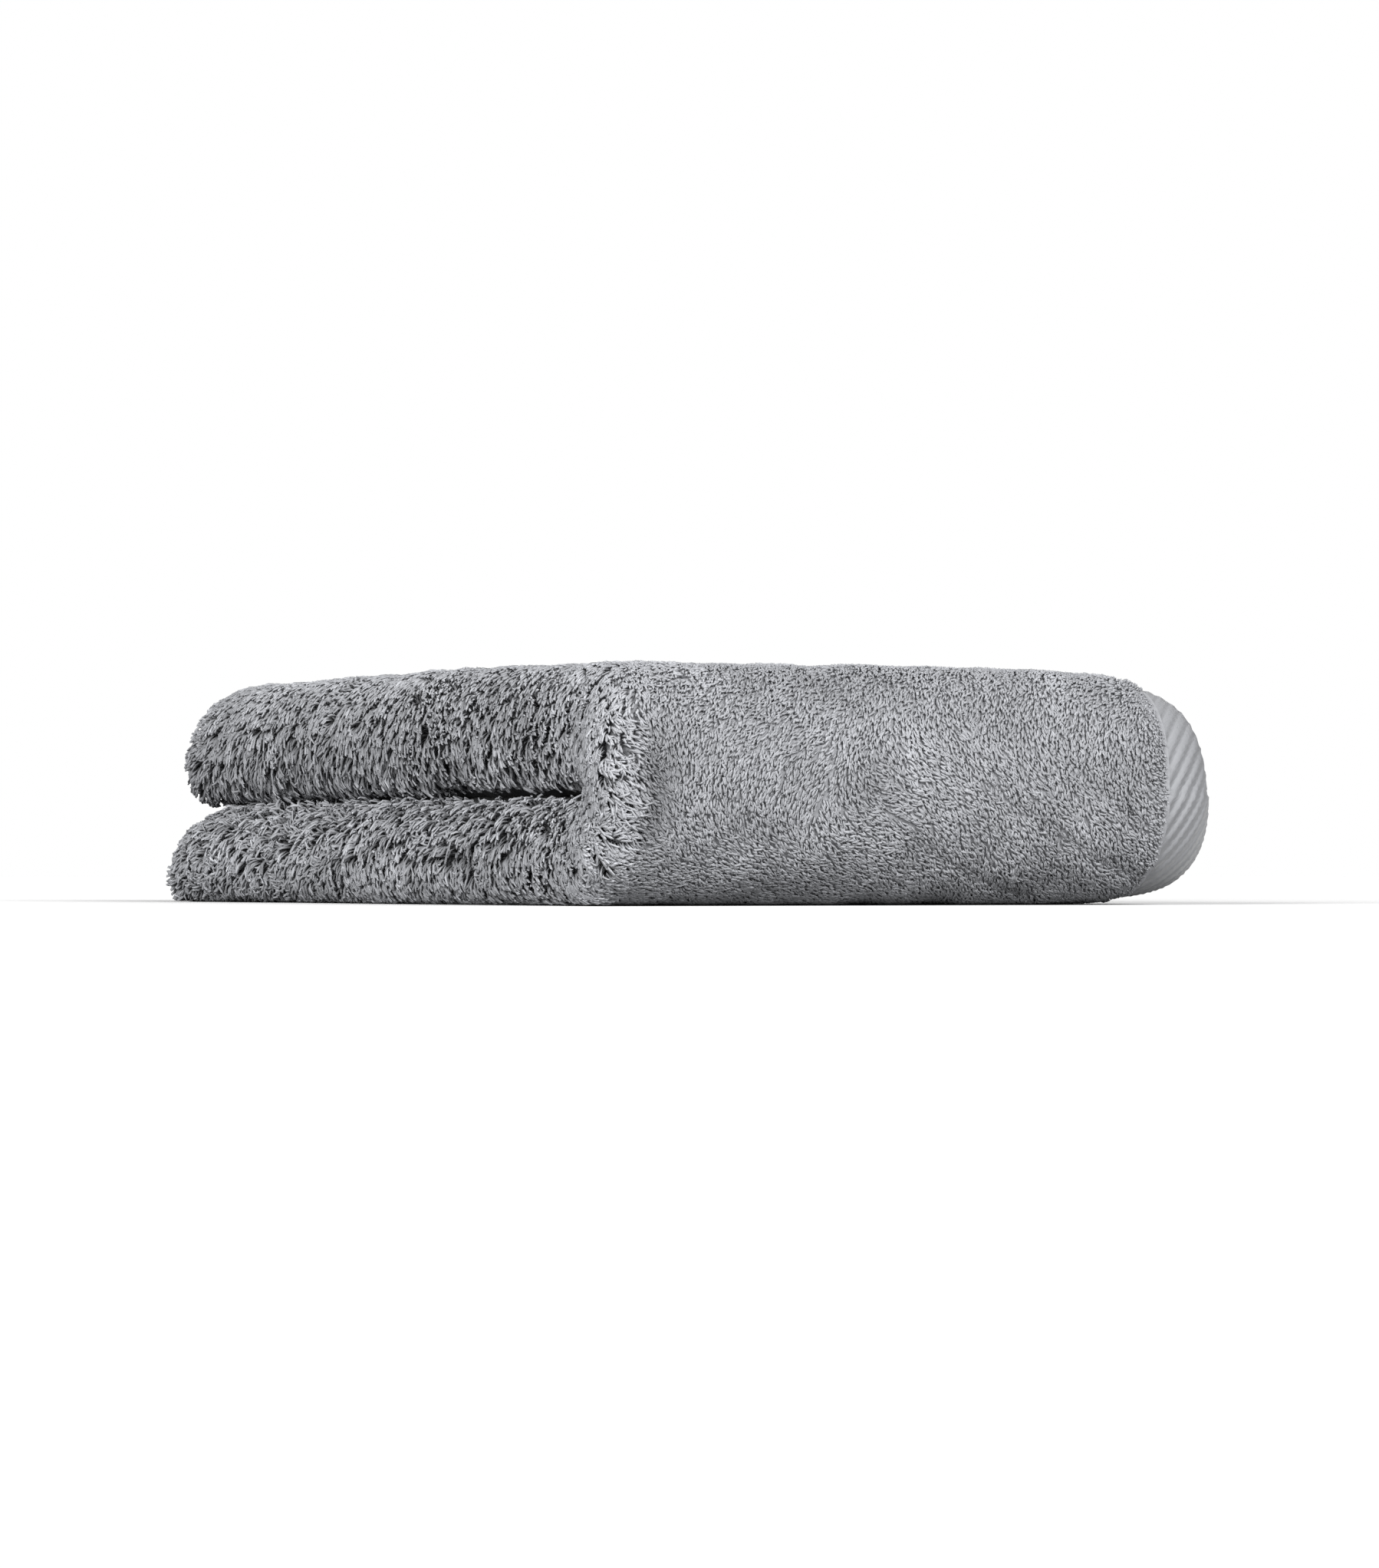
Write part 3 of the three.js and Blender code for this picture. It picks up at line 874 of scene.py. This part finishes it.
def roots():
    """Where each yarn end leaves the cloth: across, along and face, and the piece it belongs to."""
    columns, rows, seen = seen_shares()
    i, j = np.meshgrid(np.arange(int(CUT_WIDTH / CELL)), np.arange(int(CUT_LENGTH / CELL)))
    i, j = i.ravel(), j.ravel()
    kept = []
    for face, share in zip((1, -1), seen):
        across = (i + 0.5 + CHANCE.uniform(-0.5, 0.5, i.shape)) * CELL
        along = (j + 0.5 + CHANCE.uniform(-0.5, 0.5, i.shape)) * CELL
        openness = read_grid(columns, rows, share, across, along)
        faces = np.full(i.shape, face)
        weight = root_weight(across, along, face, openness)
        kept.append((across, along, faces, piece_of(across, along, faces), weight, even_scatter(i, j)))
    across, along, face, piece, weight, threshold = (np.concatenate(v) for v in zip(*kept))
    chosen = []
    for place_in, (wanted, _) in enumerate(PILE.values()):
        here = np.flatnonzero((piece == place_in) & (weight > 0))
        share = weight[here]
        factor = wanted / share.sum()
        for _ in range(COUNT_ROUNDS):
            factor *= wanted / np.minimum(1, share * factor).sum()
        chosen.append(here[np.minimum(1, share * factor) > threshold[here]])
    chosen = np.concatenate(chosen)
    return across[chosen], along[chosen], face[chosen], piece[chosen]


# The tufts' pitch, how far they are drawn out, how far they stray, and the steps searched round a root
TUFT_PITCH = 2.1
TUFT_STRETCH = 1.5
TUFT_STRAY = 0.45
TUFT_SEARCH = (-2, -1, 0, 1, 2)
TUFT_MARGIN = 3
TUFT_SEED, TUFT_TURN_SEED, TIP_SEED, SWIRL_SEED = 11, 22, 23, 21


def tufts(across, along, way):
    """For each root, the middle of its tuft and how near it is to the tuft's edge, from 0 to 1. Tufts
    are cells round a loose grid of points, drawn out along the way that the pile lies."""
    chance = np.random.default_rng(TUFT_SEED)
    wide, long = (int(size / TUFT_PITCH) + 2 * TUFT_MARGIN + 1 for size in (CUT_WIDTH, CUT_LENGTH))
    loose = chance.uniform(-TUFT_STRAY, TUFT_STRAY, (wide, long, 2))
    i, j = (across / TUFT_PITCH).astype(int), (along / TUFT_PITCH).astype(int)
    best, second = np.full(across.shape, np.inf), np.full(across.shape, np.inf)
    centre_a, centre_b = np.zeros_like(across), np.zeros_like(along)
    cos, sin = np.cos(way), np.sin(way)
    for di in TUFT_SEARCH:
        for dj in TUFT_SEARCH:
            ci, cj = i + di + TUFT_MARGIN, j + dj + TUFT_MARGIN
            a = (ci - TUFT_MARGIN + 0.5 + loose[ci, cj, 0]) * TUFT_PITCH
            b = (cj - TUFT_MARGIN + 0.5 + loose[ci, cj, 1]) * TUFT_PITCH
            lengthwise = ((a - across) * cos + (b - along) * sin) / TUFT_STRETCH
            sideways = (b - along) * cos - (a - across) * sin
            away = np.hypot(lengthwise, sideways)
            nearer = away < best
            second = np.where(nearer, best, np.minimum(second, away))
            best = np.where(nearer, away, best)
            centre_a = np.where(nearer, a, centre_a)
            centre_b = np.where(nearer, b, centre_b)
    return centre_a, centre_b, best / second


# The way the pile lies at places on the cut: 0 degrees points across towards the side fold, 90 along
# towards the upper back edge. Each counts over a reach of some millimetres.
LIES_REACH = 13
LIES = [
    (136, 262, -60), (108, 268, -55), (88, 266, -58), (68, 268, -55), (52, 266, -50), (34, 264, -35),
    (130, 252, -45), (110, 252, -35), (88, 250, -165), (72, 252, -140), (54, 252, -135), (36, 252, -135),
    (20, 250, -140), (122, 240, -168), (102, 236, -172), (134, 236, -155), (76, 236, -130),
    (58, 240, -132), (40, 236, -132), (146, 250, -120), (147, 240, -150), (90, 222, -170), (120, 222, -165),
    (50, 222, -140), (154, 474, 38), (158, 428, 5), (164, 430, -35), (153, 380, 15), (160, 376, -40),
    (164, 352, -55), (153, 314, -5), (158, 310, -40), (166, 334, -70), (153, 278, -10), (158, 278, -50),
    (164, 286, -70), (160, 470, 10), (166, 470, -20), (160, 24, 233), (162, 48, 235), (167, 74, 258),
    (160, 94, 227), (160, 120, 145), (156, 132, 160), (160, 162, 190), (156, 178, 160), (158, 206, 150),
    (154, 236, 120), (162, 216, 110), (154, 42, 215), (153, 90, 205), (153, 120, 165),
    (150, 492, 65), (160, 492, 55), (168, 490, 40), (160, 8, 255), (168, 8, 250), (152, 8, 250),
]
# Between the places of LIES, the pile lies as a slow swirl says
SWIRL_SIZE, SWIRL_TURNS, SWIRL_SHARE = 60, 1.3, 0.12
TUFT_EDGE = (0.45, 1)
SIDES = 3
MAP_MARGIN, MAP_WIDTH = 0.03, 0.28
# How far apart the fibres of the two faces are read, in millimetres, and a length that is never divided by
FACES_APART, TINY = 3, 1e-12
# A plain, a short and a long yarn end: its line as (share of its length, height and reach), the sizes
# of its rings and its tones from root to tip, which are painted shade at the root and painted light towards
# the tip
PLAIN = ([(0, 0.2, 0), (0.5, 0.95, 0.4), (1, 0.95, 1)], [1.1], [0.92, 1.0, 1.05])
SHORT = (
    [(0, 0, 0), (0.45, 0.9, 0.3), (0.8, 1.02, 0.75), (1, 0.93, 1)],
    [0.85, 1.0],
    [0.92, 1.0, 1.03, 1.05],
)
LONG = (
    [(0, 0, 0), (0.3, 0.6, 0.15), (0.6, 0.92, 0.45), (0.88, 1.04, 0.85), (1, 1.02, 1)],
    [0.8, 1.0, 0.85],
    [0.08, 0.3, 0.82, 1.1, 1.22],
)
# These are a value on short pile and what long pile adds to it
ANGLE_SPREAD, CURL_SPREAD, TONE_SPREAD = (0.16, 0.06), (0.25, 0.15), (0.08, 0.06)
LENGTH, YARN_RADIUS, PULL = (2.3, 1.2), (0.29, 0.04), (0.1, 0.45)
# Of these, the last is painted shade on yarn at the edges of tufts, where the gaps between them are
TUFT_TURN, TIP_SPREAD, GAP_PAINTED_SHADE = (0.3, 0.3), (0.06, 0.25), (0.04, 0.72)
# These are the range of a random share of a yarn end's length or radius
LENGTHS, RADII = (0.7, 1.25), (0.85, 1.2)
# The lower loop: where it starts along the cut, how much more its tufts turn, and how much lighter its yarn
# is painted, as painted light
LOWER_LOOP, LOWER_TURN, LOWER_PAINTED_LIGHT = (270, 200), 0.5, 0.1
BY_BORDER, BY_BORDER_LENGTH = (BORDER_WIDTH, BORDER_WIDTH + 12), 0.35
# Tufts stand up on the loops' outer sides, higher in their middles, and lie lower at the back ends
OUTER_SIDE, OFF_BACK = (SIDE_FOLD - 3, SIDE_FOLD + 7), (4, 30)
TUFT_HIGHER, TUFT_EDGE_LOWER = 0.5, 1.9
BACK_END, BACK_LOWER, BACK_SHORTER = (6, 32), 0.9, 0.35
LOOP_UNEVEN, UNEVEN_SIZE, TURN_SIZE, SHORT_LOWER = 0.5, 9, 8, 0.2
ROOT_SUNK, LEAST_RISE, CUT_MARGIN = 0.5, 0.9, 0.5
# Painted light on the loops' yarn, then where across the cut the painted shade in the tuft gaps comes to full
# strength, and its share before that
LOOP_PAINTED_LIGHT, GAP_SHADE_SIDE, GAP_SHADE_BEFORE = 0.18, (SIDE_FOLD - 4, SIDE_FOLD + 8), 0.3
# Painted shade in the creases' troughs for each millimetre of relief, and its limits, the upper one a little
# painted light on their ridges
TROUGH_PAINTED_SHADE, TROUGH_SHADE_LIMITS = 0.22, (-0.4, 0.08)
# How much less of each there is at the near corner; the third is the painted shade in the gaps between tufts,
# the fourth the painted light on the loops, and the last evens out the tones' painted root shade and tip
# light
CORNER_PULL, CORNER_TUFTS, CORNER_LESS_GAP_SHADE, CORNER_LESS_LOOP_LIGHT, CORNER_EVENED = 0.5, 0.55, 0.7, 0.5, 0.5
STITCH_PITCH, STITCH_LENGTH, STITCH_SLANT, STITCH_RADIUS = 2.6, 2.1, 0.25, 0.38
STITCHES_FROM_SIDE = 3
STITCH_TONE_SPREAD = 0.05
# A stitch's line as (share of half its length, height)
STITCH_LINE = [(-1, -0.25), (-0.6, 0.22), (0.6, 0.22), (1, -0.25)]
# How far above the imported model's underside the pile stays
ABOVE_UNDERSIDE = 0.2


def plus(pair, share):
    """The first number of a pair and a share of the second."""
    return pair[0] + pair[1] * share


def lie_at(across, along):
    """The direction in which the pile lies, from the nearest of LIES and a slow swirl between them."""
    swirl = SWIRL_TURNS * np.pi * wave_noise(across, along, SWIRL_SIZE, SWIRL_SEED, 2)
    way_a, way_b = SWIRL_SHARE * np.cos(swirl), SWIRL_SHARE * np.sin(swirl)
    for a, b, degrees in LIES:
        near = np.exp(-(((across - a) / LIES_REACH) ** 2) - ((along - b) / LIES_REACH) ** 2)
        way_a = way_a + near * math.cos(math.radians(degrees))
        way_b = way_b + near * math.sin(math.radians(degrees))
    return np.arctan2(way_b, way_a)


def strands(across, along, face, line):
    """The middle line of each yarn end, its thickness and its tone."""
    count = len(across)
    loop = loop_share(across, along) * (face > 0)
    lower = loop * smooth(*LOWER_LOOP, along)
    corner = corner_share(along)
    centre_a, centre_b, to_edge = tufts(across, along, lie_at(across, along))
    gap = smooth(*TUFT_EDGE, to_edge)
    turn = plus(TUFT_TURN, loop) + LOWER_TURN * lower
    turn = turn * wave_noise(centre_a, centre_b, TURN_SIZE, TUFT_TURN_SEED)
    angle = lie_at(centre_a, centre_b) + turn + CHANCE.normal(0, plus(ANGLE_SPREAD, loop), count)
    curl = CHANCE.normal(0, plus(CURL_SPREAD, loop), count)
    length = plus(LENGTH, loop) * CHANCE.uniform(*LENGTHS, count)
    length = length * plus((BY_BORDER_LENGTH, 1 - BY_BORDER_LENGTH), smooth(*BY_BORDER, from_side(across)))
    pull = plus(PULL, loop * (1 - CORNER_PULL * corner))
    radius = plus(YARN_RADIUS, loop) * CHANCE.uniform(*RADII, count)

    base = ground_off(across, along, face) - ROOT_SUNK
    on_side = loop * smooth(*OUTER_SIDE, across) * smooth(*OFF_BACK, from_end(along))
    on_side = on_side * (1 - CORNER_TUFTS * corner)
    at_back = loop * (1 - smooth(*BACK_END, from_end(along)))
    top = pile_height(across, along) + relief(across, along) * (face > 0)
    uneven_tips = LOOP_UNEVEN * loop * wave_noise(centre_a, centre_b, UNEVEN_SIZE, TIP_SEED)
    top = top + uneven_tips - SHORT_LOWER * (1 - loop)
    top = top + CHANCE.normal(0, plus(TIP_SPREAD, on_side), count)
    top = top + on_side * (TUFT_HIGHER - TUFT_EDGE_LOWER * gap) - BACK_LOWER * at_back
    rise = np.maximum(LEAST_RISE, top - base)
    length = length * (1 - BACK_SHORTER * at_back)

    a_step, b_step, _ = frame_at(across, along, face * ROOT_LEVEL)
    per_a = MM / np.linalg.norm(a_step, axis=1)
    per_b = MM / np.linalg.norm(b_step, axis=1)
    lines = []
    for share, height, out in line:
        turned = angle + curl * share
        a = across + per_a * length * out * np.cos(turned) + pull * share * (centre_a - across)
        b = along + per_b * length * out * np.sin(turned) + pull * share * (centre_b - along)
        a = np.clip(a, CUT_MARGIN, CUT_WIDTH - CUT_MARGIN)
        b = np.clip(b, CUT_MARGIN, CUT_LENGTH - CUT_MARGIN)
        lines.append(place(a, b, face * (base + rise * height)))

    # Painted shade in the gaps between tufts: yarn near a tuft's edge is painted darker, most on the loops'
    # outer sides and less at the near corner
    dark = loop * plus((GAP_SHADE_BEFORE, 1 - GAP_SHADE_BEFORE), smooth(*GAP_SHADE_SIDE, across))
    dark = dark * (1 - CORNER_LESS_GAP_SHADE * corner)
    # Painted light: the loops' yarn is painted lighter, the lower loop's more, and less so at the near corner
    tone = 1 + LOOP_PAINTED_LIGHT * loop * (1 - CORNER_LESS_LOOP_LIGHT * corner) + LOWER_PAINTED_LIGHT * lower - gap * plus(GAP_PAINTED_SHADE, dark)
    # Painted shade in the creases' troughs and a little painted light on their ridges
    trough_and_ridge_shade = np.clip(TROUGH_PAINTED_SHADE * relief(across, along), *TROUGH_SHADE_LIMITS) * (face > 0)
    tone = tone * (1 + trough_and_ridge_shade) * CHANCE.normal(1, plus(TONE_SPREAD, loop), count)
    return np.stack(lines, 1), radius * MM, tone


def strand_faces(rings):
    """The corners, sizes and flat places of one yarn end's faces: a point, rings of three and a point."""
    first, last = 0, 1 + rings * SIDES
    levels = np.linspace(MAP_MARGIN, 1 - MAP_MARGIN, rings + 2)
    corners, sizes, flat = [], [], []
    for side in range(SIDES):
        after = (side + 1) % SIDES
        left = MAP_MARGIN + side / SIDES
        right = left + MAP_WIDTH
        middle = (left + right) / 2
        corners += [first, 1 + after, 1 + side]
        sizes.append(3)
        flat += [(middle, levels[0]), (right, levels[1]), (left, levels[1])]
        for ring in range(rings - 1):
            low, high = 1 + ring * SIDES, 1 + (ring + 1) * SIDES
            corners += [low + side, low + after, high + after, high + side]
            sizes.append(4)
            flat += [(left, levels[ring + 1]), (right, levels[ring + 1])]
            flat += [(right, levels[ring + 2]), (left, levels[ring + 2])]
        top = 1 + (rings - 1) * SIDES
        corners += [top + side, top + after, last]
        sizes.append(3)
        flat += [(left, levels[rings]), (right, levels[rings]), (middle, levels[rings + 1])]
    return np.array(corners), np.array(sizes), np.array(flat)


def yarn(name, lines, radius, ring_sizes, shade, cut, material):
    """A mesh of closed three-sided yarn ends along their middle lines."""
    count, rings = len(lines), len(ring_sizes)
    reference = CHANCE.normal(0, 1, (count, 3))
    parts = [lines[:, 0]]
    for ring in range(1, rings + 1):
        ahead = lines[:, ring + 1] - lines[:, ring - 1]
        x = np.cross(ahead, reference)
        x /= np.maximum(TINY, np.linalg.norm(x, axis=1, keepdims=True))
        y = np.cross(ahead, x)
        y /= np.maximum(TINY, np.linalg.norm(y, axis=1, keepdims=True))
        size = radius[:, None] * ring_sizes[ring - 1]
        for side in range(SIDES):
            turn = 2 * math.pi * side / SIDES
            parts.append(lines[:, ring] + size * (math.cos(turn) * x + math.sin(turn) * y))
    points = np.stack([*parts, lines[:, -1]], 1)
    points[:, :, 2] = np.maximum(points[:, :, 2], packed_low[2] + ABOVE_UNDERSIDE * MM)
    corners, sizes, flat = strand_faces(rings)
    all_corners = (corners[None] + np.arange(count)[:, None] * points.shape[1]).ravel()
    all_sizes = np.tile(sizes, count)
    cells = math.ceil(math.sqrt(count))
    cell = np.stack([np.arange(count) % cells, np.arange(count) // cells], -1)
    maps = (flat[None] + cell[:, None]) / cells
    shades = np.repeat(shade, [1, *[SIDES] * rings, 1], axis=1)
    places = cut[:, None] + (points - lines[:, :1]) / MM
    return mesh_object(
        name, points.reshape(-1, 3), all_corners, all_sizes, np.zeros(len(all_sizes)), [material],
        maps.reshape(-1, 2),
        {"cut": places.reshape(-1, 3), "shade": shades.ravel()},
    )


def pile(name, rings, across, along, face):
    """One piece of the pile, with the painted root shade and tip light of its tones evened out at the near
    corner.
    """
    line, ring_sizes, tones = (PLAIN, SHORT, LONG)[rings - 1]
    lines, radius, tone = strands(across, along, face, line)
    evened = CORNER_EVENED * corner_share(along)[:, None]
    tones = np.array(tones)
    shade = tone[:, None] * (tones + evened * (1 - tones))
    cut = np.stack([across, along, face * FACES_APART], -1)
    return yarn(name, lines, radius, ring_sizes, shade, cut, TERRY_PILE)


def hem_stitches():
    """The row of stitches along each hem, on both faces."""
    middles = np.arange(STITCHES_FROM_SIDE, CUT_WIDTH - STITCHES_FROM_SIDE, STITCH_PITCH)
    middle, end, face = (v.ravel() for v in np.meshgrid(middles, [0, 1], [1, -1], indexing="ij"))
    lines = []
    for share, height in STITCH_LINE:
        across = middle + share * STITCH_LENGTH / 2
        along = np.where(end > 0, CUT_LENGTH - HEM_STITCH_AT, HEM_STITCH_AT) + STITCH_SLANT * share
        lines.append(place(across, along, face * (ground_off(across, along, face) + height)))
    count = len(middle)
    radius = np.full(count, STITCH_RADIUS * MM)
    shade = CHANCE.normal(1, STITCH_TONE_SPREAD, (count, 1)) * np.ones(len(STITCH_LINE))
    cut = np.stack([middle, end, face], -1)
    return yarn("hem_stitches", np.stack(lines, 1), radius, [1, 1], shade, cut, HEM_THREAD)


def towel():
    """The cloth, the pieces of pile on it and the stitches of its hems."""
    woven = cloth()
    *root_places, piece = roots()
    pieces = []
    for place_in, (name, (_, rings)) in enumerate(PILE.items()):
        pieces.append(pile(name, rings, *(v[piece == place_in] for v in root_places)))
    pieces.append(hem_stitches())
    for made in [woven, *pieces]:
        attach(made, "root")
    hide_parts("towel")


towel()


# The stage, lights and camera

FLOOR_SIZE = 12
# The floor and the room look white to the camera, but light the towel as much darker ones would
FLOOR_SHOWN, FLOOR_BOUNCE = 1.0, 0.36
ROOM_SHOWN, ROOM_LIGHT = 1.0, 0.28


def shown_or_lit(tree, lit, shown):
    """A number that is one thing to the camera and another to the light that reaches the towel."""
    path = node(tree, "LightPath")
    inputs = {"Value": path.outputs["Is Camera Ray"], "To Min": lit, "To Max": shown}
    return node(tree, "MapRange", inputs=inputs).outputs["Result"]


def floor():
    """The plain pale floor under the towel."""
    bpy.ops.mesh.primitive_plane_add(size=FLOOR_SIZE, location=(0, 0, packed_low[2]))
    made = bpy.context.object
    made.name = "floor"
    material, tree, shader = new_material("pale_floor", roughness=0.9, specular=0.1)
    tree.links.new(shown_or_lit(tree, FLOOR_BOUNCE, FLOOR_SHOWN), shader.inputs["Base Color"])
    made.data.materials.append(material)


def sun(name, direction, spread, strength):
    """A soft sun: its direction points from the towel to the light, its spread is in degrees."""
    lamp = bpy.data.lights.new(name, "SUN")
    lamp.energy = strength
    lamp.angle = math.radians(spread)
    put_in_scene(name, lamp).rotation_euler = (-Vector(direction)).to_track_quat("-Z", "Y").to_euler()


def white_room():
    """An even white room round the towel."""
    world = bpy.data.worlds.new("white_room")
    world.use_nodes = True
    tree = world.node_tree
    tree.nodes["Background"].inputs["Color"].default_value = (1, 1, 1, 1)
    tree.links.new(shown_or_lit(tree, ROOM_LIGHT, ROOM_SHOWN), tree.nodes["Background"].inputs["Strength"])
    bpy.context.scene.world = world


# The photograph's camera: level, its heading in degrees, how far to its right the towel's middle is,
# how far away it is, and its height above the floor
HEADING = 26.177
TO_RIGHT = 0.00268
AWAY = 1.4418
EYE = 0.00737
LENS, SENSOR = 144, 36
CLIP_START = 0.05
# Where it looks: metres to the right of the frame's middle and up
AIM_RIGHT = 0.0063
AIM_UP = 0.020


def camera():
    """The camera at the photograph's viewing angle."""
    turn = math.radians(HEADING)
    right = Vector((math.cos(turn), -math.sin(turn), 0))
    ahead = Vector((math.sin(turn), math.cos(turn), 0))
    data = bpy.data.cameras.new("camera")
    data.lens = LENS
    data.sensor_width = SENSOR
    data.clip_start = CLIP_START
    made = put_in_scene("camera", data)
    made.location = -TO_RIGHT * right - AWAY * ahead + Vector((0, 0, EYE))
    look = ahead * AWAY + right * AIM_RIGHT + Vector((0, 0, AIM_UP))
    made.rotation_euler = look.to_track_quat("-Z", "Y").to_euler()
    bpy.context.scene.camera = made


floor()
white_room()
sun("key", direction=(0.15, -0.85, 0.48), spread=30, strength=2.95)
sun("left", direction=(-0.9, -0.55, 0.4), spread=30, strength=2.9)
camera()
bpy.context.scene.view_settings.view_transform = "Standard"
